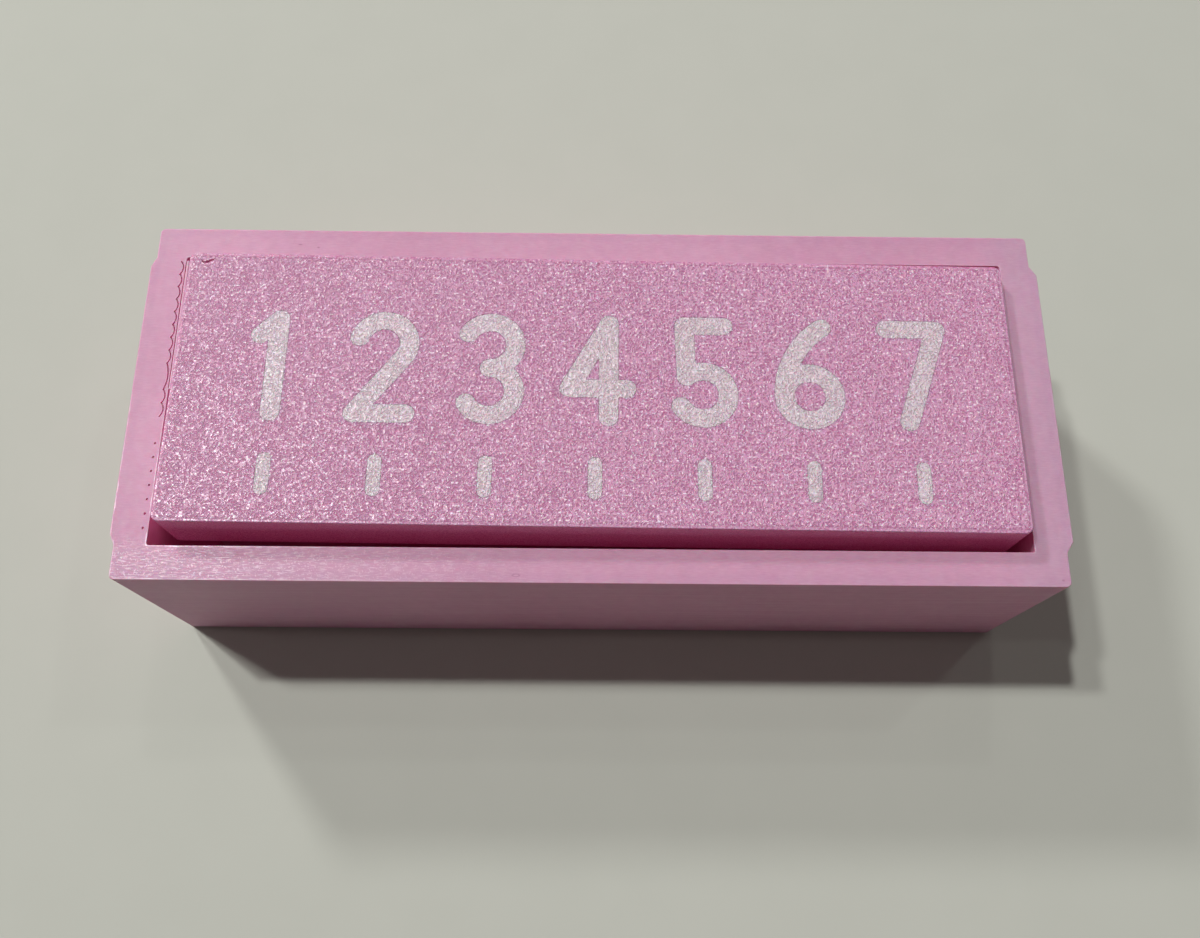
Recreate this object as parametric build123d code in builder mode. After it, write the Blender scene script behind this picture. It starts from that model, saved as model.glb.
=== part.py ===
"""Butter dispenser: a printed frame with a push-up floor plate and a loose press block.

Millimetres, +Z up, +X along the frame, the front is towards -Y. The origin is the middle of the
frame's base. Butter lies in the pocket between the floor plate and the press block.
"""

import os
from math import radians, sin

from build123d import *

# Frame
frame_length = 130.0
frame_width = 53.85
frame_height = 33.0
frame_corner_radius = 0.8
base_chamfer = 0.5
rim_rounding = 0.15

# Raised pads on the two end walls, as wide as the pocket, with sloped sides
left_pad_proud = 0.7
right_pad_proud = 1.0
pad_slope_width = 1.5

# Pocket for a four ounce stick of butter, 121 mm long between the end walls
end_wall_thickness = 4.5
pocket_width = 44.15
pocket_corner_radius = 0.3

# Ledge that carries the floor plate, and the finger opening inside it
ledge_thickness = 2.2
ledge_reach = 4.0
finger_opening_radius = 5.0
finger_opening_chamfer = 0.6

# Floor plate
floor_thickness = 2.6
floor_clearance = 0.35
floor_corner_radius = 1.0
floor_chamfer = 0.3

# Press block
press_thickness = 9.3
press_end_clearance = 1.35
press_side_clearance = 1.65
press_corner_radius = 1.1
press_rounding = 0.15

# How the loose press block lies in the pocket, with angles in degrees
press_proud = 3.35
press_back_gap = 1.1
press_right_gap = 0.95
press_turn = 0.25
press_left_end_up = 0.38
press_front_edge_up = 1.0

# Inlaid tablespoon scale on the face of the press block: a numeral over a bar at each mark
scale_numerals = "1234567"
scale_pitch = 15.0
numeral_height = 17.0
numeral_gap = 4.7
stroke_width = 2.7
tick_length = 6.0
tick_width = 1.9
tick_margin = 3.95
inlay_depth = 0.8
inlay_clearance = 0.04

# Chip in the face of the press block, with its place measured from the back left corner
chip_length = 2.1
chip_width = 0.9
chip_depth = 0.35
chip_from_left = 2.65
chip_from_back = 1.3

# Loose bead along the pocket's left edge, with the groove that parts it from the rim
bead_proud = 0.33
bead_height = 0.6
bead_length = 20.6
bead_from_back = 0.6
groove_width = 0.14
groove_lap = 0.02

# Print marks in the rim beside the pocket's left edge: a line in scallops, then pinholes
first_cusp_from_back = 0.72
mark_pitch = 2.053
mark_depth = 0.4
cusp_count = 14
missing_cusps = (9, 13)
cusp_inset = 0.76
crest_inset = 0.38
crest_share = 0.58
scallop_lap = 0.05
scallop_line_width = 0.18
pinhole_count = 7
pinhole_inset = 0.8
pinhole_width = 0.28

# Sizes that follow from the ones above
pocket_length = frame_length - 2 * end_wall_thickness
floor_length = pocket_length - 2 * floor_clearance
floor_width = pocket_width - 2 * floor_clearance
press_length = pocket_length - 2 * press_end_clearance
press_width = pocket_width - 2 * press_side_clearance
turn_sine = sin(radians(press_turn))
press_x = (pocket_length - press_length - press_width * turn_sine) / 2 - press_right_gap
press_y = (pocket_width - press_width - press_length * turn_sine) / 2 - press_back_gap
press_top = Plane(
    Location(
        (press_x, press_y, frame_height + press_proud),
        (-press_front_edge_up, press_left_end_up, -press_turn),
    )
)
first_mark_x = -(len(scale_numerals) - 1) / 2 * scale_pitch
tick_middle = -press_width / 2 + tick_margin + tick_length / 2
numeral_middle = tick_middle + (tick_length + numeral_height) / 2 + numeral_gap
bowl_radius = (numeral_height - stroke_width) / 4


def numeral_strokes(numeral):
    """Gives the centre lines of a numeral's open strokes, each as a list of joined edges."""
    r = bowl_radius
    top = 2 * bowl_radius
    if numeral == "1":
        return [[Polyline((-0.7 * r, 1.3 * r), (0, top), (0, -top))]]
    if numeral == "2":
        bowl = CenterArc((0, r), r, 165, -200)
        return [[bowl, Polyline(bowl @ 1, (-r, -top), (r, -top))]]
    if numeral == "3":
        return [[CenterArc((0, r), r, 150, -240), CenterArc((0, -r), r, 90, -240)]]
    if numeral == "4":
        stem_x = 0.5 * r
        bar_y = -0.8 * r
        slope = Polyline((stem_x, top), (-1.05 * r, bar_y), (1.2 * r, bar_y))
        return [[slope], [Polyline((stem_x, top), (stem_x, -top))]]
    if numeral == "5":
        bowl = CenterArc((0, -r), r, 130, -280)
        return [[Polyline((0.85 * r, top), (-0.7 * r, top), bowl @ 0), bowl]]
    if numeral == "6":
        return [[TangentArc((-r, -r), (0.6 * r, top), tangent=(0, 1))]]
    return [[Polyline((-r, top), (r, top), (-0.35 * r, -top))]]


def draw_numeral(numeral, width):
    """Draws a numeral in the sketch in hand, in strokes of this width with round ends."""
    for stroke in strokes_of[numeral]:
        with BuildLine() as outline:
            add(stroke)
            offset(amount=width / 2, kind=Kind.ARC)
        make_face(outline.edges())
    if numeral == "6":
        with Locations((0, -bowl_radius)):
            Circle(bowl_radius + width / 2)
            Circle(bowl_radius - width / 2, mode=Mode.SUBTRACT)


def pad_outline(side, proud):
    """Gives the outline of the pad on the left (-1) or the right (1) end wall, with its root."""
    root = frame_length / 2 - frame_corner_radius
    wall = frame_length / 2
    half_width = pocket_width / 2
    corners = [(root, half_width), (wall, half_width), (wall + proud, half_width - pad_slope_width)]
    corners += [(x, -y) for x, y in reversed(corners)]
    return [(side * x, y) for x, y in corners]


def face_plane(x, y):
    """Gives the plane of the press block's face with its origin moved to this point of it."""
    return Plane(press_top.from_local_coords(Vector(x, y, 0)), press_top.x_dir, press_top.z_dir)


strokes_of = {numeral: numeral_strokes(numeral) for numeral in scale_numerals}
os.makedirs("parts", exist_ok=True)


# Frame
pocket_left = -pocket_length / 2
pocket_back = pocket_width / 2
bead_middle = pocket_back - bead_from_back - bead_length / 2
groove_middle = pocket_left + groove_lap - groove_width / 2
first_cusp_y = pocket_back - first_cusp_from_back
cusps = [
    (pocket_left - cusp_inset, first_cusp_y - i * mark_pitch)
    for i in range(cusp_count)
    if i not in missing_cusps
]
with BuildPart() as frame:
    with BuildSketch():
        RectangleRounded(frame_length, frame_width, frame_corner_radius)
        for side, proud in ((-1, left_pad_proud), (1, right_pad_proud)):
            with BuildLine():
                Polyline(*pad_outline(side, proud), close=True)
            make_face()
    extrude(amount=frame_height)
    chamfer(frame.faces().sort_by(Axis.Z)[0].edges(), base_chamfer)

    # Pocket with its ledge and finger opening
    with BuildSketch(Plane.XY.offset(ledge_thickness)):
        RectangleRounded(pocket_length, pocket_width, pocket_corner_radius)
    extrude(amount=frame_height - ledge_thickness, mode=Mode.SUBTRACT)
    with BuildSketch():
        RectangleRounded(
            pocket_length - 2 * ledge_reach,
            pocket_width - 2 * ledge_reach,
            finger_opening_radius,
        )
    extrude(amount=ledge_thickness, mode=Mode.SUBTRACT)
    chamfer(frame.faces().sort_by(Axis.Z)[0].inner_wires().edges(), finger_opening_chamfer)
    fillet(frame.faces().sort_by(Axis.Z)[-1].edges(), rim_rounding)

    # Loose bead
    with BuildSketch(Plane.XY.offset(frame_height)):
        with Locations((pocket_left + bead_proud / 2, bead_middle)):
            Rectangle(bead_proud, bead_length)
    extrude(amount=-bead_height)

    # Print marks: the groove along the bead, the line in scallops, then pinholes
    with BuildSketch(Plane.XY.offset(frame_height)):
        with Locations((groove_middle, bead_middle)):
            Rectangle(groove_width, bead_length - 2 * groove_width)
        for (x, upper), (_, lower) in zip(cusps, cusps[1:]):
            crest = (pocket_left - crest_inset, upper + (lower - upper) * crest_share)
            arc = ThreePointArc((x, upper), crest, (x, lower - scallop_lap))
            SlotArc(arc, scallop_line_width)
        for i in range(cusp_count, cusp_count + pinhole_count):
            with Locations((pocket_left - pinhole_inset, first_cusp_y - i * mark_pitch)):
                Rectangle(pinhole_width, pinhole_width, rotation=45)
    extrude(amount=-mark_depth, mode=Mode.SUBTRACT)
frame.part.label = "frame"
export_step(frame.part, "parts/frame.step")


# Floor plate
with BuildPart() as floor_plate:
    with BuildSketch(Plane.XY.offset(ledge_thickness)):
        RectangleRounded(floor_length, floor_width, floor_corner_radius)
    extrude(amount=floor_thickness)
    chamfer(floor_plate.faces().sort_by(Axis.Z)[0].edges(), floor_chamfer)
    chamfer(floor_plate.faces().sort_by(Axis.Z)[-1].edges(), floor_chamfer)
floor_plate.part.label = "floor_plate"
export_step(floor_plate.part, "parts/floor_plate.step")


# Press block, with a seat for each inlay and a chip in its face
chip_outline = [
    (-0.5 * chip_length, 0.2 * chip_width),
    (-0.3 * chip_length, -0.5 * chip_width),
    (0.2 * chip_length, -0.4 * chip_width),
    (0.5 * chip_length, 0.5 * chip_width),
    (0, 0.1 * chip_width),
    (-0.2 * chip_length, -0.2 * chip_width),
]
chip_plane = face_plane(chip_from_left - press_length / 2, press_width / 2 - chip_from_back)
with BuildPart() as press_block:
    with BuildSketch(press_top):
        RectangleRounded(press_length, press_width, press_corner_radius)
    extrude(amount=-press_thickness)
    fillet(press_block.faces().sort_by(Axis.Z)[0].edges(), press_rounding)
    fillet(press_block.faces().sort_by(Axis.Z)[-1].edges(), press_rounding)
    for i, numeral in enumerate(scale_numerals):
        with BuildSketch(face_plane(first_mark_x + i * scale_pitch, numeral_middle)):
            draw_numeral(numeral, stroke_width + 2 * inlay_clearance)
        extrude(amount=-inlay_depth, mode=Mode.SUBTRACT)
        with BuildSketch(face_plane(first_mark_x + i * scale_pitch, tick_middle)):
            SlotOverall(
                tick_length + 2 * inlay_clearance,
                tick_width + 2 * inlay_clearance,
                rotation=90,
            )
        extrude(amount=-inlay_depth, mode=Mode.SUBTRACT)
    with BuildSketch(chip_plane):
        with BuildLine():
            Polyline(*chip_outline, close=True)
        make_face()
    extrude(amount=-chip_depth, mode=Mode.SUBTRACT)
press_block.part.label = "press_block"
export_step(press_block.part, "parts/press_block.step")


# Inlaid numerals
for i, numeral in enumerate(scale_numerals):
    with BuildPart() as inlay:
        with BuildSketch(face_plane(first_mark_x + i * scale_pitch, numeral_middle)):
            draw_numeral(numeral, stroke_width)
        extrude(amount=-inlay_depth)
    inlay.part.label = f"numeral_{numeral}"
    export_step(inlay.part, f"parts/numeral_{numeral}.step")


# Inlaid bars under the numerals
for i, numeral in enumerate(scale_numerals):
    with BuildPart() as tick:
        with BuildSketch(face_plane(first_mark_x + i * scale_pitch, tick_middle)):
            SlotOverall(tick_length, tick_width, rotation=90)
        extrude(amount=-inlay_depth)
    tick.part.label = f"tick_{numeral}"
    export_step(tick.part, f"parts/tick_{numeral}.step")
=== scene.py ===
"""Dresses the butter dispenser in printed plastic and sets it on a pale floor in soft light.

Metres, +Z up, +X along the frame, the front is towards -Y, as in the frame that is loaded.
"""

from math import pi, radians

import bmesh
import bpy
from mathutils import Matrix, Vector


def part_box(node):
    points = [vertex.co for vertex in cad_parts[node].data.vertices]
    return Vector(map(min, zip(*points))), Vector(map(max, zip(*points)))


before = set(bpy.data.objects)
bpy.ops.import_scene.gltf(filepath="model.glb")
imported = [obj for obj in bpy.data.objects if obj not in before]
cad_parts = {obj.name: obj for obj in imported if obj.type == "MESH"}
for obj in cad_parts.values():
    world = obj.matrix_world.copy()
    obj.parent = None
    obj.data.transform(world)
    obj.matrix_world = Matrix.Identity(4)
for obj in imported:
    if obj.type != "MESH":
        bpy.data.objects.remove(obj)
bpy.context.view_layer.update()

MM = 0.001

# Sizes of the frame and its pocket
frame_low, frame_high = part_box("frame")
floor_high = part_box("floor_plate")[1]
outer_half_length = 65.0 * MM
pad_slope_width = 1.5 * MM
floor_clearance = 0.35 * MM
outer_half_width = frame_high.y
pocket_half_length = floor_high.x + floor_clearance
pocket_half_width = floor_high.y + floor_clearance
rim_level = frame_high.z

# How the press block lies in the pocket: its tilts and turn in degrees, and the middle of its face
block_front_edge_up = 1.0
block_left_end_up = 0.38
block_turn = 0.25
block_face = Vector((0.311 * MM, 0.292 * MM, rim_level + 3.35 * MM))
block_half_length = 59.15 * MM
block_half_width = 20.425 * MM
block_turned = (
    Matrix.Rotation(radians(-block_front_edge_up), 3, "X")
    @ Matrix.Rotation(radians(block_left_end_up), 3, "Y")
    @ Matrix.Rotation(radians(-block_turn), 3, "Z")
)

# Print settings that show in the surfaces
layer_height = 0.2 * MM
line_width = 0.46 * MM
grain_size = 0.5 * MM
face_border = 0.6 * MM
crease_reach = 0.14 * MM

# Small marks on the rim and on the block's face: place and reach along X and Y, in millimetres
# Darker specks on the rim, given as colour only
rim_dark_specks = (
    ((-43.97, 24.45), (0.45, 0.16)),
    ((-41.25, 23.98), (0.3, 0.2)),
    ((63.88, -26.0), (0.3, 0.2)),
)
rim_ring = ((-10.3, -25.9), (0.7, 0.28))
# The rim's front left corner, whose edges are worn and carry a painted highlight most strongly
edge_glint_and_wear_spot = ((-65.0, -27.0), (60.0, 30.0))
face_hair_line = ((33.7, 19.5), (0.16, 1.1))

# Height of the relief in each surface
print_relief = 0.012 * MM
face_relief = 0.075 * MM
inlay_relief = 0.085 * MM

# Slopes between which a face begins to count as facing up or down, and counts in full
up_slopes = (0.75, 0.95)
down_slopes = (-0.75, -0.95)
block_up_slopes = (0.6, 0.9)

# Repeats in a metre of the fine patterns
slow_drift_repeats = 28.0
fine_drift_repeats = 620.0
layer_waver_repeats = 160.0
layer_tone_repeats = 30.0
top_streak_repeats = (700.0, 6500.0)
scuff_repeats = 4200.0
edge_wear_repeats = 700.0
mottle_repeats = 90.0

# Where the rim is worn most and a highlight is painted on it: from full to none, towards the right and
# towards the back
glint_and_wear_to_right = (-50.0 * MM, 5.0 * MM)
glint_and_wear_to_back = (-24.5 * MM, -20.0 * MM)

# Heights within the relief, as multiples of a full printed line
rim_line_height = 0.15
worn_line_height = 0.6
scuff_height = 1.5
under_grain_height = 4.0
block_layer_height = 0.2

# Share of the light that goes into each plastic, and how deep
frame_light = (0.4, 1.4 * MM)
floor_plate_light = (0.4, 2.5 * MM)
press_light = (0.35, 2.0 * MM)
inlay_light = (0.3, 1.5 * MM)

# How far red, green and blue reach into the plastic, as shares of that depth
light_reach = (1.0, 0.15, 0.35)

# Shine of each surface, where 0.5 is that of plain plastic
frame_shine = 0.2
floor_plate_shine = 0.3
press_shine = 0.4

# Thin gloss on worn plastic
gloss_roughness = 0.22
gloss_ior = 1.5
edge_gloss = 0.6
scuff_gloss = 0.12

# Camera, fitted to the edges of the frame in the photograph, with its angles in degrees
camera_place = Vector((-0.564, -61.355, 179.63)) * MM
camera_yaw = -1.732
camera_tilt = 19.098
camera_roll = 2.157
camera_lens = 33.368
camera_clip_start = 0.01
sensor_width = 36.0

# Lamps: the direction from the object, the distance, the width and the share of the plain level
lamps = {
    "main lamp": ((-0.37, 0.25, 1.0), 4.0, 0.16, 0.39),
    "second lamp": ((-0.51, 0.28, 1.0), 4.0, 0.2, 0.23),
    "back lamp": ((-0.668, 0.775, 0.8), 1.3, 0.15, 0.25),
    "left lamp": ((-0.419, 0.019, 1.0), 1.8, 0.06, 0.02),
    "right lamp": ((0.55, 0.45, 1.0), 1.8, 0.05, 0.03),
    "far lamp": ((0.1, 0.6, 1.0), 1.8, 0.05, 0.03),
    "lamp below": ((0.3, -0.3, -1.0), 1.3, 0.3, 0.25),
}

# Floor: its size, its drop below the frame, its surface, its fade, and the edge round its opening
floor_radius = 4.0
floor_sides = 96
floor_drop = 0.05 * MM
floor_roughness = 0.7
floor_fade_start = 0.35
floor_fade_end = 1.0
under_frame_margin = 0.7 * MM


def display(red, green, blue):
    """Gives a colour for a shader from its red, green and blue as a screen shows them, 0 to 255."""
    def linear(value):
        share = value / 255
        return share / 12.92 if share <= 0.04045 else ((share + 0.055) / 1.055) ** 2.4
    return (linear(red), linear(green), linear(blue), 1.0)


# Finishes
rim_rose = display(194, 144, 170)
# Greyer colour painted over the rim's right end as shade
rim_shade_grey = display(150, 150, 165)
# The rim's plastic made redder for the walls, a painted tint that stands in for the warm light bounced
# onto them
wall_bounce_rose = display(207, 146, 173)
face_rose = display(175, 110, 148)
# Paler rose painted on the grain's crests, standing in for the light on them
crest_light_rose = display(214, 164, 193)
worn_rose = display(232, 205, 218)
# Paler, greyer rose over the rim's front left corner: dull wear and a painted sheen where the lamps'
# highlight falls
dull_and_sheen_rose = display(188, 155, 175)
# Near white for glints painted on the grain and on the rim, for worn and glinting edges, and for a
# light hair
glint_and_mark_white = display(250, 234, 244)
mauve = display(150, 110, 150)
# Deep rose for painted shade at one end of the walls and of the face, and for creases and marks
shade_and_mark_rose = display(120, 60, 90)
# Crimson of the red glow painted in the narrow gaps, as if lit
painted_glow_crimson = (1.0, 0.03, 0.22, 1.0)
black = (0.0, 0.0, 0.0, 1.0)
inlay_white = display(209, 191, 199)
inlay_shade = display(172, 144, 158)
floor_grey = display(183, 185, 175)
floor_grey_low = display(182, 184, 174)
background_grey = display(194, 193, 184)
fill_light = (0.094, 0.076, 0.079, 1.0)

# How much each plastic's colour drifts over its surface
frame_drift = 0.18
floor_plate_drift = 0.1
press_drift = 0.16
inlay_drift = 0.1

# Tones of the printed lines between which their paler colour comes in, and their roughness changes
pale_tones = (0.35, 0.7)
roughness_tones = (0.3, 0.75)

# Values of the noise between which scuffs show, and tones of the lines between which they are worn
scuff_values = (0.56, 0.74)
streak_tones = (0.52, 0.66)

# Roughness, from the dark lines or the hollows to the pale lines or the crests
frame_roughness = (0.56, 0.48)
floor_plate_roughness = (0.48, 0.36)
press_roughness = (0.42, 0.24)
inlay_roughness = (0.42, 0.28)

# Shares of the second colour in the printed lines and in the grain, where the grain's paler crests and
# white glints are painted light
frame_line_share = 0.12
floor_plate_line_share = 0.05
under_crest_light_share = 0.4
crest_light_share = 0.78
painted_glint_share = 0.62
inlay_shade_share = 0.58
inlay_painted_glint_share = 0.6

# Shares of the second colour where the rim or the block's face is worn or marked, and where a
# highlight is painted on the worn rim
dull_and_sheen_share = 0.3
scuff_glint_share = 0.36
edge_wear_share = 0.15
corner_wear_share = 0.5
outer_strip_share = 0.07
dark_speck_share = 0.4
ring_strength = 3.0
crease_share = 0.25
hair_line_share = 0.5

# Shares of the deeper or greyer colour at one end, a painted shade
wall_right_shade_share = 0.22
rim_right_shade_share = 0.2
face_left_shade_share = 0.12

# Painted red glow, given off though the plastic is no lamp, of the pocket's walls from left to right,
# and of the block's sides from low to high
painted_pocket_glow_shares = (0.06, 0.02)
painted_block_glow_shares = (0.038, 0.075)


def put(tree, kind, inputs=None, **settings):
    """Adds a node to a tree, sets its properties, and sets or links its inputs."""
    node = tree.nodes.new(kind)
    for name, value in settings.items():
        setattr(node, name, value)
    for key, value in (inputs or {}).items():
        if isinstance(value, bpy.types.NodeSocket):
            tree.links.new(value, node.inputs[key])
        else:
            node.inputs[key].default_value = value
    return node


def calc(tree, operation, *values):
    """Gives the result of a Math node on these values."""
    return put(tree, "ShaderNodeMath", dict(enumerate(values)), operation=operation).outputs[0]


def times(tree, first, *others):
    """Gives the product of these values."""
    for other in others:
        first = calc(tree, "MULTIPLY", first, other)
    return first


def vector_calc(tree, operation, *values):
    """Gives the result of a Vector Math node on these values."""
    node = put(tree, "ShaderNodeVectorMath", dict(enumerate(values)), operation=operation)
    return node.outputs["Value" if operation == "LENGTH" else "Vector"]


def axes(tree, vector):
    """Gives a vector's X, Y and Z."""
    return put(tree, "ShaderNodeSeparateXYZ", {0: vector}).outputs


def stretched(tree, x, y, z):
    """Gives the vector that has these values along X, Y and Z."""
    return put(tree, "ShaderNodeCombineXYZ", {"X": x, "Y": y, "Z": z}).outputs[0]


def ramp(tree, value, start, end, low=0.0, high=1.0):
    """Gives a smooth step from low to high as the value goes from start to end."""
    inputs = {"Value": value, "From Min": start, "From Max": end, "To Min": low, "To Max": high}
    node = put(tree, "ShaderNodeMapRange", inputs, interpolation_type="SMOOTHSTEP")
    return node.outputs["Result"]


def blend(tree, share, first, second):
    """Gives a colour that goes from the first to the second as the share goes from 0 to 1."""
    inputs = {0: share, 6: first, 7: second}
    return put(tree, "ShaderNodeMix", inputs, data_type="RGBA").outputs[2]


def noise(tree, vector, scale, detail=2.0, distortion=0.0, roughness=0.5):
    """Gives the value of a Noise Texture."""
    inputs = {
        "Vector": vector,
        "Scale": scale,
        "Detail": detail,
        "Roughness": roughness,
        "Distortion": distortion,
    }
    return put(tree, "ShaderNodeTexNoise", inputs).outputs["Fac"]


def new_group(name, inputs, outputs):
    """Makes an empty shader group with these sockets, and gives it with its input and output nodes."""
    group = bpy.data.node_groups.new(name, "ShaderNodeTree")
    for label, (kind, value) in inputs.items():
        socket = group.interface.new_socket(label, in_out="INPUT", socket_type="NodeSocket" + kind)
        socket.default_value = value
    for label, kind in outputs.items():
        group.interface.new_socket(label, in_out="OUTPUT", socket_type="NodeSocket" + kind)
    return group, group.nodes.new("NodeGroupInput").outputs, group.nodes.new("NodeGroupOutput")


def give_out(group, result, values):
    """Links these values to the outputs of a shader group."""
    for label, value in values.items():
        group.links.new(value, result.inputs[label])


def place(tree, group, inputs):
    """Places a shader group in a tree and gives its outputs."""
    return put(tree, "ShaderNodeGroup", inputs, node_tree=group).outputs


def mark(tree, vector, place_and_reach, level):
    """Gives a soft spot on a level face, 1 in its middle and 0 beyond its reach."""
    (x, y), (reach_x, reach_y) = place_and_reach
    offset = vector_calc(tree, "SUBTRACT", vector, (x * MM, y * MM, level))
    share = vector_calc(tree, "DIVIDE", offset, (reach_x * MM, reach_y * MM, 1.0))
    return ramp(tree, vector_calc(tree, "LENGTH", share), 0.3, 1.0, low=1.0, high=0.0)


def plate_grain_group():
    """The grain that a textured print plate leaves: worm-like crests, and the spots along them where
    glints are painted.
    """
    group, given, result = new_group(
        "plate grain",
        {"Vector": ("Vector", (0, 0, 0)), "Size": ("Float", 1.0)},
        {"Height": "Float", "Crest": "Float", "Sparkle": "Float"},
    )
    per_metre = calc(group, "DIVIDE", 1.0, given["Size"])
    fine = noise(group, given["Vector"], per_metre, detail=1.0, distortion=0.5)
    off_middle = calc(group, "ABSOLUTE", calc(group, "SUBTRACT", fine, 0.5))
    crest = ramp(group, off_middle, 0.0, 0.2, low=1.0, high=0.0)
    lumps = noise(group, given["Vector"], times(group, per_metre, 0.8), detail=0.0)
    breaks = noise(group, given["Vector"], times(group, per_metre, 1.37), detail=0.0)
    height = calc(group, "MULTIPLY_ADD", lumps, 0.8, crest)
    crossing = times(group, crest, ramp(group, breaks, 0.5, 0.72))
    sparkle = ramp(group, crossing, 0.5, 0.85)
    give_out(group, result, {"Height": height, "Crest": crest, "Sparkle": sparkle})
    return group


def layer_lines_group():
    """The printed layers of an upright wall: a ridge for each, and a tone that differs by layer."""
    group, given, result = new_group(
        "layer lines",
        {"Vector": ("Vector", (0, 0, 0)), "Pitch": ("Float", 1.0)},
        {"Height": "Float", "Tone": "Float"},
    )
    parts = axes(group, given["Vector"])
    layers = calc(group, "DIVIDE", parts["Z"], given["Pitch"])
    waver = times(group, noise(group, given["Vector"], layer_waver_repeats), 0.5)
    wave = calc(group, "SINE", times(group, calc(group, "ADD", layers, waver), 2 * pi))
    ridge = calc(group, "MULTIPLY_ADD", wave, 0.5, 0.5)
    along_layers = stretched(
        group,
        times(group, parts["X"], layer_tone_repeats),
        times(group, parts["Y"], layer_tone_repeats),
        times(group, layers, 0.55),
    )
    tone = noise(group, along_layers, 1.0, detail=3.0, roughness=0.7)
    height = calc(group, "MULTIPLY_ADD", tone, 1.4, ridge)
    give_out(group, result, {"Height": height, "Tone": tone})
    return group


def rim_lines_group():
    """The top layer of the frame: lines round each edge, and straight ones along X between."""
    group, given, result = new_group(
        "rim lines",
        {"Vector": ("Vector", (0, 0, 0)), "Width": ("Float", 1.0)},
        {"Height": "Float", "Tone": "Float", "Edge": "Float", "Pocket Edge": "Float"},
    )
    parts = axes(group, given["Vector"])
    along = calc(group, "ABSOLUTE", parts["X"])
    across = calc(group, "ABSOLUTE", parts["Y"])
    pad_foot = {
        "Value": across,
        "From Min": pocket_half_width,
        "From Max": pocket_half_width - pad_slope_width,
    }
    on_pad = put(group, "ShaderNodeMapRange", pad_foot).outputs["Result"]
    on_right = calc(group, "GREATER_THAN", parts["X"], 0.0)
    left_proud = -frame_low.x - outer_half_length
    right_proud = frame_high.x - outer_half_length
    proud = calc(group, "MULTIPLY_ADD", on_right, right_proud - left_proud, left_proud)
    reach = calc(group, "MULTIPLY_ADD", on_pad, proud, outer_half_length)
    to_end = calc(group, "SUBTRACT", reach, along)
    to_side = calc(group, "SUBTRACT", outer_half_width, across)
    to_edge = calc(group, "MINIMUM", to_end, to_side)
    past_pocket_end = calc(group, "SUBTRACT", along, pocket_half_length)
    past_pocket_side = calc(group, "SUBTRACT", across, pocket_half_width)
    to_pocket = calc(group, "MAXIMUM", past_pocket_end, past_pocket_side)
    nearest = calc(group, "MINIMUM", to_edge, to_pocket)
    inside = calc(group, "GREATER_THAN", nearest, times(group, given["Width"], 1.5))
    straight = times(group, parts["Y"], inside)
    contour = times(group, nearest, calc(group, "SUBTRACT", 1.0, inside))
    lines = calc(group, "DIVIDE", calc(group, "ADD", straight, contour), given["Width"])
    wave = calc(group, "COSINE", times(group, lines, 2 * pi))
    ridge = calc(group, "MULTIPLY_ADD", wave, -0.5, 0.5)
    along_repeats, across_repeats = top_streak_repeats
    streaks = stretched(
        group,
        times(group, parts["X"], along_repeats),
        times(group, parts["Y"], across_repeats),
        inside,
    )
    tone = noise(group, streaks, 1.0, detail=3.0, roughness=0.65)
    height = calc(group, "MULTIPLY_ADD", tone, 0.5, ridge)
    outputs = {"Height": height, "Tone": tone, "Edge": to_edge, "Pocket Edge": to_pocket}
    give_out(group, result, outputs)
    return group


def drift_group():
    """Slow and fine changes of a plastic's colour over its surface."""
    group, given, result = new_group(
        "colour drift",
        {
            "Vector": ("Vector", (0, 0, 0)),
            "Colour": ("Color", (1, 1, 1, 1)),
            "Amount": ("Float", 0.1),
        },
        {"Colour": "Color"},
    )
    slow = noise(group, given["Vector"], slow_drift_repeats)
    fine = noise(group, given["Vector"], fine_drift_repeats)
    both = calc(group, "MULTIPLY_ADD", fine, 0.5, times(group, slow, 0.8))
    swing = times(group, calc(group, "SUBTRACT", both, 0.65), given["Amount"])
    changes = {
        "Hue": 0.5,
        "Saturation": calc(group, "SUBTRACT", 1.0, swing),
        "Value": calc(group, "MULTIPLY_ADD", swing, 1.6, 1.0),
        "Fac": 1.0,
        "Color": given["Colour"],
    }
    shade = put(group, "ShaderNodeHueSaturation", changes)
    give_out(group, result, {"Colour": shade.outputs[0]})
    return group


plate_grain = plate_grain_group()
layer_lines = layer_lines_group()
rim_lines = rim_lines_group()
drift = drift_group()


def new_material(name):
    """Makes a material and gives it with its tree, its shader and the object's own coordinates."""
    material = bpy.data.materials.new(name)
    material.use_nodes = True
    tree = material.node_tree
    shader = tree.nodes["Principled BSDF"]
    place_on_object = tree.nodes.new("ShaderNodeTexCoord").outputs
    return material, tree, shader, place_on_object


def drifting(tree, vector, colour, amount):
    """Gives this colour with the drift of a printed plastic, in this amount."""
    return place(tree, drift, {"Vector": vector, "Colour": colour, "Amount": amount})["Colour"]


def bump(tree, shader, height, distance):
    """Raises the surface by this height, where a height of 1 stands for this distance."""
    node = put(tree, "ShaderNodeBump", {"Height": height, "Distance": distance, "Strength": 1.0})
    tree.links.new(node.outputs[0], shader.inputs["Normal"])


def let_light_in(shader, share, depth):
    """Lets this share of the light into the plastic, down to this depth, red farthest."""
    shader.inputs["Subsurface Weight"].default_value = share
    shader.inputs["Subsurface Scale"].default_value = depth
    shader.inputs["Subsurface Radius"].default_value = light_reach


def gloss(tree, shader, share):
    """Lays a thin gloss over the plastic in this share."""
    tree.links.new(share, shader.inputs["Coat Weight"])
    shader.inputs["Coat Roughness"].default_value = gloss_roughness
    shader.inputs["Coat IOR"].default_value = gloss_ior


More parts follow.
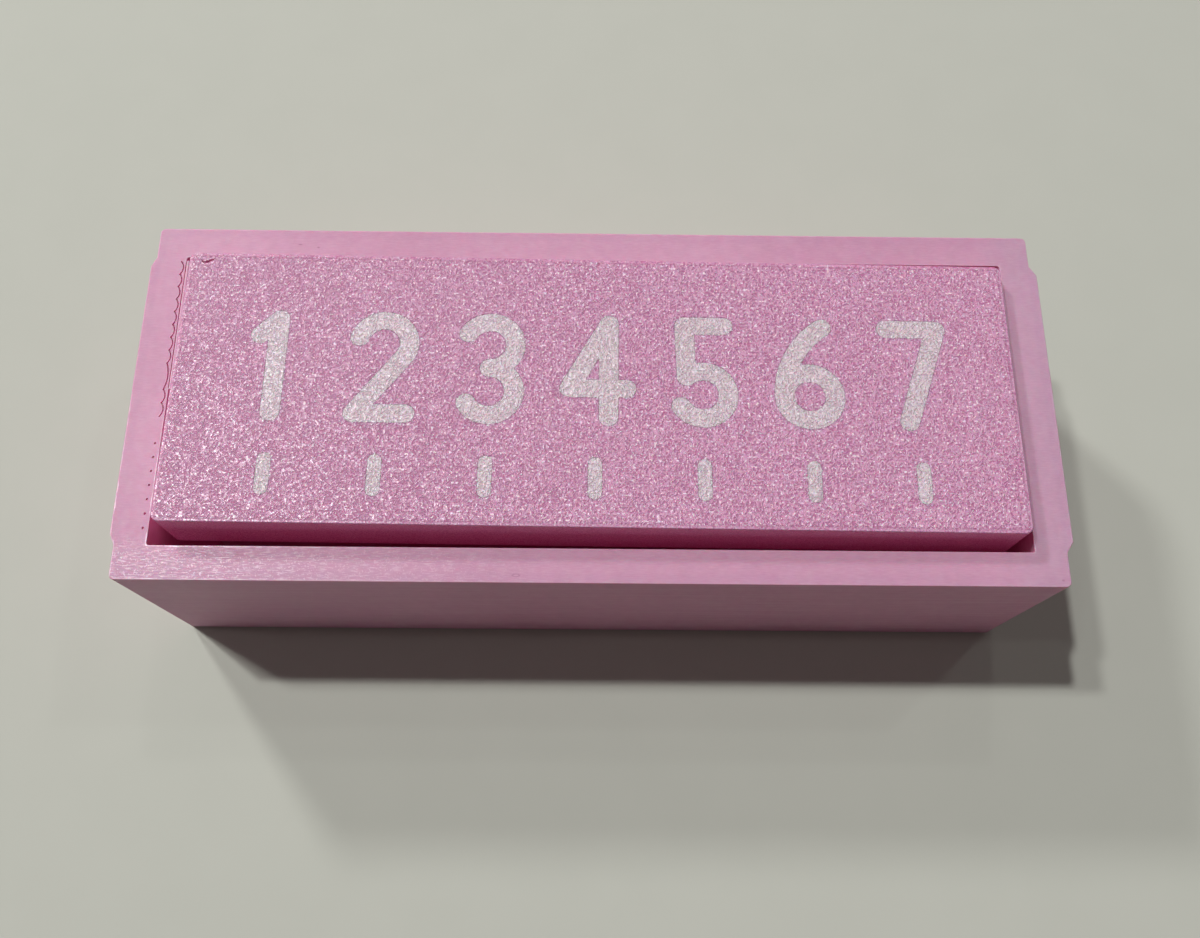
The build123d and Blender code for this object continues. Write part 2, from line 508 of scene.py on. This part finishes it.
def paint_red_glow(tree, shader, share):
    """Paints a red glow into the narrow gap, given off as light in this share, standing in for the
    light that bounces and scatters through the plastic there.
    """
    tree.links.new(blend(tree, share, black, painted_glow_crimson), shader.inputs["Emission Color"])
    shader.inputs["Emission Strength"].default_value = 1.0


def printed_faces(tree, at):
    """Gives where a body printed upright faces up and down, and its top lines, layers and grain."""
    normal = axes(tree, at["Normal"])
    facing_up = ramp(tree, normal["Z"], *up_slopes)
    facing_down = ramp(tree, normal["Z"], *down_slopes)
    rim = place(tree, rim_lines, {"Vector": at["Object"], "Width": line_width})
    walls = place(tree, layer_lines, {"Vector": at["Object"], "Pitch": layer_height})
    under = place(tree, plate_grain, {"Vector": at["Object"], "Size": grain_size})
    return facing_up, facing_down, rim, walls, under


def with_sides_and_grain(tree, top, facing_up, facing_down, walls, under):
    """Adds the layers on upright faces and the grain below to the height of the top."""
    sideways = calc(tree, "SUBTRACT", calc(tree, "SUBTRACT", 1.0, facing_up), facing_down)
    height = calc(tree, "MULTIPLY_ADD", walls["Height"], sideways, top)
    grain_below = times(tree, facing_down, under_grain_height)
    return calc(tree, "MULTIPLY_ADD", under["Height"], grain_below, height)


def glint_and_wear_corner(tree, parts):
    """Gives 1 at the rim's front left corner, where it is roughest and a highlight is painted, falling
    to 0 away from it.
    """
    to_right = ramp(tree, parts["X"], *glint_and_wear_to_right, low=1.0, high=0.0)
    to_back = ramp(tree, parts["Y"], *glint_and_wear_to_back, low=1.0, high=0.0)
    return times(tree, to_right, to_back)


def rim_marks(tree, vector):
    """Gives the darker specks on the rim and the ring near the middle of its front."""
    marks = mark(tree, vector, rim_dark_specks[0], rim_level)
    for speck in rim_dark_specks[1:]:
        marks = calc(tree, "MAXIMUM", marks, mark(tree, vector, speck, rim_level))
    ring = mark(tree, vector, rim_ring, rim_level)
    ring = times(tree, ring, calc(tree, "SUBTRACT", 1.0, ring))
    return calc(tree, "MULTIPLY_ADD", ring, ring_strength, marks)


def painted_pocket_glow(tree, parts, to_pocket):
    """Gives how much painted red glow the pocket's walls give off, most at the top and at the left."""
    by_pocket = ramp(tree, to_pocket, 1.5 * MM, 1.2 * MM)
    sunk = ramp(tree, parts["Z"], rim_level - 0.1 * MM, rim_level - 0.3 * MM)
    near_top = ramp(tree, parts["Z"], rim_level - 11.0 * MM, rim_level - 1.0 * MM, low=0.3)
    to_right = ramp(tree, parts["X"], -50.0 * MM, 50.0 * MM, *painted_pocket_glow_shares)
    return times(tree, by_pocket, sunk, times(tree, near_top, to_right))


def frame_plastic():
    """Satin rose plastic, printed upright: layers on the walls, top lines on the rim, grain below."""
    material, tree, shader, at = new_material("frame plastic")
    facing_up, facing_down, rim, walls, under = printed_faces(tree, at)
    parts = axes(tree, at["Object"])

    # Painted shade: the walls deepen towards the right and the rim greys at its right end
    to_right = ramp(tree, parts["X"], -60.0 * MM, 60.0 * MM, high=wall_right_shade_share)
    wall_colour = blend(tree, to_right, wall_bounce_rose, shade_and_mark_rose)
    right_end_shade = ramp(tree, parts["X"], 54.0 * MM, 64.0 * MM, high=rim_right_shade_share)
    rim_colour = blend(tree, right_end_shade, rim_rose, rim_shade_grey)
    plain = blend(tree, facing_up, wall_colour, rim_colour)
    colour = drifting(tree, at["Object"], plain, frame_drift)
    rim_tone = times(tree, rim["Tone"], facing_up)
    wall_tone = times(tree, walls["Tone"], calc(tree, "SUBTRACT", 1.0, facing_up))
    tone = calc(tree, "ADD", rim_tone, wall_tone)
    pale_lines = ramp(tree, tone, *pale_tones, high=frame_line_share)
    colour = blend(tree, pale_lines, colour, worn_rose)

    # At the rim's front left corner: paler with dull wear and a painted sheen, with near-white glints
    # painted on its scuffs and print streaks, where the lamps' highlight falls
    glint_and_wear = glint_and_wear_corner(tree, parts)
    scuff = ramp(tree, noise(tree, at["Object"], scuff_repeats, detail=1.0), *scuff_values)
    streak = ramp(tree, rim["Tone"], *streak_tones)
    scuff_glints = times(tree, glint_and_wear, facing_up, calc(tree, "MAXIMUM", scuff, streak))
    colour = blend(tree, times(tree, glint_and_wear, dull_and_sheen_share), colour, dull_and_sheen_rose)
    colour = blend(tree, times(tree, scuff_glints, scuff_glint_share), colour, glint_and_mark_white)

    # Near-white along the rim's edges, most at the front left corner: worn edges and a painted
    # highlight on them
    chips = noise(tree, at["Object"], edge_wear_repeats, detail=3.0)
    edge_reach = times(tree, chips, 0.5 * MM)
    to_pocket = calc(tree, "ABSOLUTE", rim["Pocket Edge"])
    nearest = calc(tree, "MINIMUM", calc(tree, "ABSOLUTE", rim["Edge"]), to_pocket)
    edge = times(tree, ramp(tree, nearest, edge_reach, 0.0), facing_up)
    corner = mark(tree, at["Object"], edge_glint_and_wear_spot, rim_level)
    wear = calc(tree, "MULTIPLY_ADD", corner, corner_wear_share, edge_wear_share)
    colour = blend(tree, times(tree, edge, wear), colour, glint_and_mark_white)
    outer_strip = ramp(tree, rim["Edge"], 1.7 * MM, 1.1 * MM, high=outer_strip_share)
    colour = blend(tree, times(tree, outer_strip, facing_up), colour, mauve)
    marks = times(tree, rim_marks(tree, at["Object"]), dark_speck_share, facing_up)
    colour = blend(tree, marks, colour, shade_and_mark_rose)

    tree.links.new(colour, shader.inputs["Base Color"])
    roughness = ramp(tree, tone, *roughness_tones, *frame_roughness)
    tree.links.new(roughness, shader.inputs["Roughness"])
    shader.inputs["Specular IOR Level"].default_value = frame_shine
    on_edge = times(tree, edge, edge_gloss)
    top_gloss = calc(tree, "MAXIMUM", on_edge, times(tree, scuff_glints, scuff_gloss))
    gloss(tree, shader, times(tree, top_gloss, facing_up))
    let_light_in(shader, *frame_light)
    # A red glow painted into the pocket, as if lit
    paint_red_glow(tree, shader, painted_pocket_glow(tree, parts, to_pocket))

    line_height = calc(tree, "MULTIPLY_ADD", glint_and_wear, worn_line_height, rim_line_height)
    lines = times(tree, rim["Height"], line_height)
    lines = calc(tree, "MULTIPLY_ADD", scuff, times(tree, glint_and_wear, scuff_height), lines)
    top = times(tree, lines, facing_up)
    height = with_sides_and_grain(tree, top, facing_up, facing_down, walls, under)
    bump(tree, shader, height, print_relief)
    return material


def floor_plastic():
    """The same plastic on the floor plate, printed flat: top lines above, grain below."""
    material, tree, shader, at = new_material("floor plate plastic")
    facing_up, facing_down, rim, walls, under = printed_faces(tree, at)
    colour = drifting(tree, at["Object"], rim_rose, floor_plate_drift)
    pale_lines = ramp(tree, rim["Tone"], *pale_tones, high=floor_plate_line_share)
    colour = blend(tree, pale_lines, colour, worn_rose)
    # Paler crests on the grain below, painted light
    grain = times(tree, under["Crest"], facing_down, under_crest_light_share)
    colour = blend(tree, grain, colour, crest_light_rose)
    tree.links.new(colour, shader.inputs["Base Color"])
    roughness = ramp(tree, rim["Tone"], *roughness_tones, *floor_plate_roughness)
    tree.links.new(roughness, shader.inputs["Roughness"])
    shader.inputs["Specular IOR Level"].default_value = floor_plate_shine
    let_light_in(shader, *floor_plate_light)
    top = times(tree, rim["Height"], facing_up)
    height = with_sides_and_grain(tree, top, facing_up, facing_down, walls, under)
    bump(tree, shader, height, print_relief)
    return material


def block_place(tree, at):
    """Gives the coordinates of the press block itself, from the middle of its face."""
    turn = block_turned.to_euler("XYZ")
    inputs = {"Vector": at["Object"], "Location": block_face, "Rotation": turn}
    return put(tree, "ShaderNodeMapping", inputs, vector_type="TEXTURE").outputs[0]


def press_plastic():
    """Rose plastic, printed face down on a textured plate."""
    material, tree, shader, at = new_material("press plastic")
    on_block = block_place(tree, at)
    parts = axes(tree, on_block)
    facing_up = ramp(tree, axes(tree, at["Normal"])["Z"], *block_up_slopes)
    face = place(tree, plate_grain, {"Vector": on_block, "Size": grain_size})
    walls = place(tree, layer_lines, {"Vector": on_block, "Pitch": layer_height})

    colour = drifting(tree, on_block, face_rose, press_drift)
    # Paler crests on the grain, painted light
    colour = blend(tree, times(tree, face["Crest"], crest_light_share), colour, crest_light_rose)
    # Painted shade: the face deepens towards its left end
    to_left = ramp(tree, parts["X"], -45.0 * MM, 40.0 * MM, low=face_left_shade_share, high=0.0)
    colour = blend(tree, to_left, colour, shade_and_mark_rose)
    to_end = calc(tree, "SUBTRACT", block_half_length, calc(tree, "ABSOLUTE", parts["X"]))
    to_side = calc(tree, "SUBTRACT", block_half_width, calc(tree, "ABSOLUTE", parts["Y"]))
    to_edge = calc(tree, "MINIMUM", to_end, to_side)
    past_border = ramp(tree, to_edge, 0.5 * face_border, face_border, low=0.35)
    off_crease = calc(tree, "ABSOLUTE", calc(tree, "SUBTRACT", to_edge, face_border))
    crease = ramp(tree, off_crease, crease_reach, 0.0, high=crease_share)
    colour = blend(tree, times(tree, crease, facing_up), colour, shade_and_mark_rose)
    hair_line = times(tree, mark(tree, on_block, face_hair_line, 0.0), hair_line_share)
    # Near-white glints painted on the grain, and a light hair
    sparkle = times(tree, face["Sparkle"], past_border, painted_glint_share)
    light = times(tree, calc(tree, "MAXIMUM", sparkle, hair_line), facing_up)
    colour = blend(tree, light, colour, glint_and_mark_white)

    tree.links.new(colour, shader.inputs["Base Color"])
    roughness = ramp(tree, face["Crest"], 0.0, 1.0, *press_roughness)
    tree.links.new(roughness, shader.inputs["Roughness"])
    shader.inputs["Specular IOR Level"].default_value = press_shine
    let_light_in(shader, *press_light)
    below_face = ramp(tree, parts["Z"], -0.1 * MM, -0.3 * MM)
    # A red glow painted on the block's sides, as if lit
    glow = ramp(tree, parts["Z"], -7.0 * MM, -2.0 * MM, *painted_block_glow_shares)
    paint_red_glow(tree, shader, times(tree, glow, below_face))

    top = times(tree, face["Height"], past_border, facing_up)
    sideways = times(tree, calc(tree, "SUBTRACT", 1.0, facing_up), block_layer_height)
    bump(tree, shader, calc(tree, "MULTIPLY_ADD", walls["Height"], sideways, top), face_relief)
    return material


def inlay_plastic():
    """White plastic, inlaid in the face of the press block and grained with it."""
    material, tree, shader, at = new_material("inlay plastic")
    on_block = block_place(tree, at)
    face = place(tree, plate_grain, {"Vector": on_block, "Size": grain_size})
    colour = drifting(tree, on_block, inlay_white, inlay_drift)
    hollows = ramp(tree, face["Crest"], 1.0, 0.0, high=inlay_shade_share)
    colour = blend(tree, hollows, colour, inlay_shade)
    # Near-white glints painted on the grain
    sparkle = times(tree, face["Sparkle"], inlay_painted_glint_share)
    colour = blend(tree, sparkle, colour, glint_and_mark_white)
    tree.links.new(colour, shader.inputs["Base Color"])
    roughness = ramp(tree, face["Crest"], 0.0, 1.0, *inlay_roughness)
    tree.links.new(roughness, shader.inputs["Roughness"])
    let_light_in(shader, *inlay_light)
    bump(tree, shader, face["Height"], inlay_relief)
    return material


def dress(nodes, material):
    """Gives each of these nodes this material in every slot."""
    for node in nodes:
        node.data.materials.clear()
        node.data.materials.append(material)


dress([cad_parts["frame"]], frame_plastic())
dress([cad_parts["floor_plate"]], floor_plastic())
dress([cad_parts["press_block"]], press_plastic())
inlays = [node for name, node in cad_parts.items() if name.startswith(("numeral_", "tick_"))]
dress(inlays, inlay_plastic())


def shows_background(tree):
    """Gives 1 for what is seen directly, in a gloss or through glass, and 0 for the fill light."""
    rays = put(tree, "ShaderNodeLightPath").outputs
    not_directly = calc(tree, "MAXIMUM", rays["Is Glossy Ray"], rays["Is Transmission Ray"])
    return calc(tree, "MAXIMUM", rays["Is Camera Ray"], not_directly)


def pale_floor():
    """Matt pale grey that fades into the background far away and hides nothing from below."""
    material, tree, shader, at = new_material("pale floor")
    mottle = noise(tree, at["Object"], mottle_repeats, detail=3.0)
    colour = blend(tree, ramp(tree, mottle, 0.3, 0.7), floor_grey, floor_grey_low)
    away = vector_calc(tree, "LENGTH", at["Object"])
    faded = ramp(tree, away, floor_fade_start, floor_fade_end)
    far = times(tree, shows_background(tree), faded)
    tree.links.new(blend(tree, far, colour, black), shader.inputs["Base Color"])
    tree.links.new(blend(tree, far, black, background_grey), shader.inputs["Emission Color"])
    shader.inputs["Emission Strength"].default_value = 1.0
    parts = axes(tree, at["Object"])
    past_end = calc(tree, "SUBTRACT", calc(tree, "ABSOLUTE", parts["X"]), outer_half_length)
    past_side = calc(tree, "SUBTRACT", calc(tree, "ABSOLUTE", parts["Y"]), outer_half_width)
    past_frame = calc(tree, "MAXIMUM", past_end, past_side)
    under_frame = calc(tree, "LESS_THAN", past_frame, -under_frame_margin)
    seen = put(tree, "ShaderNodeLightPath").outputs["Is Camera Ray"]
    from_below = put(tree, "ShaderNodeNewGeometry").outputs["Backfacing"]
    clear = calc(tree, "MAXIMUM", under_frame, times(tree, seen, from_below))
    tree.links.new(calc(tree, "SUBTRACT", 1.0, clear), shader.inputs["Alpha"])
    shader.inputs["Roughness"].default_value = floor_roughness
    shader.inputs["Specular IOR Level"].default_value = 0.0
    return material


def make_floor():
    """A wide round floor, just below the frame."""
    mesh = bmesh.new()
    below_frame = Matrix.Translation((0.0, 0.0, -floor_drop))
    bmesh.ops.create_circle(
        mesh, cap_ends=True, segments=floor_sides, radius=floor_radius, matrix=below_frame
    )
    data = bpy.data.meshes.new("floor")
    mesh.to_mesh(data)
    mesh.free()
    data.materials.append(pale_floor())
    floor = bpy.data.objects.new("floor", data)
    bpy.context.scene.collection.objects.link(floor)


make_floor()


# Light and camera
def soft_lamp(name, towards, distance, width, share):
    """A round soft lamp that gives this share of the plain level on a level surface."""
    direction = Vector(towards).normalized()
    lamp = bpy.data.lights.new(name, "AREA")
    lamp.shape = "DISK"
    lamp.size = width
    lamp.energy = share * (pi * distance) ** 2 / abs(direction.z)
    placed = bpy.data.objects.new(name, lamp)
    placed.location = direction * distance
    placed.rotation_euler = direction.to_track_quat("Z", "Y").to_euler()
    bpy.context.scene.collection.objects.link(placed)


for lamp_name, (towards, distance, width, share) in lamps.items():
    soft_lamp(lamp_name, towards, distance, width, share)

world = bpy.data.worlds.new("room")
world.use_nodes = True
room = world.node_tree
room_colour = blend(room, shows_background(room), fill_light, background_grey)
room.links.new(room_colour, room.nodes["Background"].inputs["Color"])
room.nodes["Background"].inputs["Strength"].default_value = 1.0
bpy.context.scene.world = world
bpy.context.scene.view_settings.view_transform = "Standard"

camera_data = bpy.data.cameras.new("camera")
camera_data.lens = camera_lens
camera_data.sensor_width = sensor_width
camera_data.clip_start = camera_clip_start
camera = bpy.data.objects.new("camera", camera_data)
camera.location = camera_place
camera.rotation_euler = (
    Matrix.Rotation(radians(camera_yaw), 3, "Z")
    @ Matrix.Rotation(radians(camera_tilt), 3, "X")
    @ Matrix.Rotation(radians(camera_roll), 3, "Z")
).to_euler()
bpy.context.scene.collection.objects.link(camera)
bpy.context.scene.camera = camera
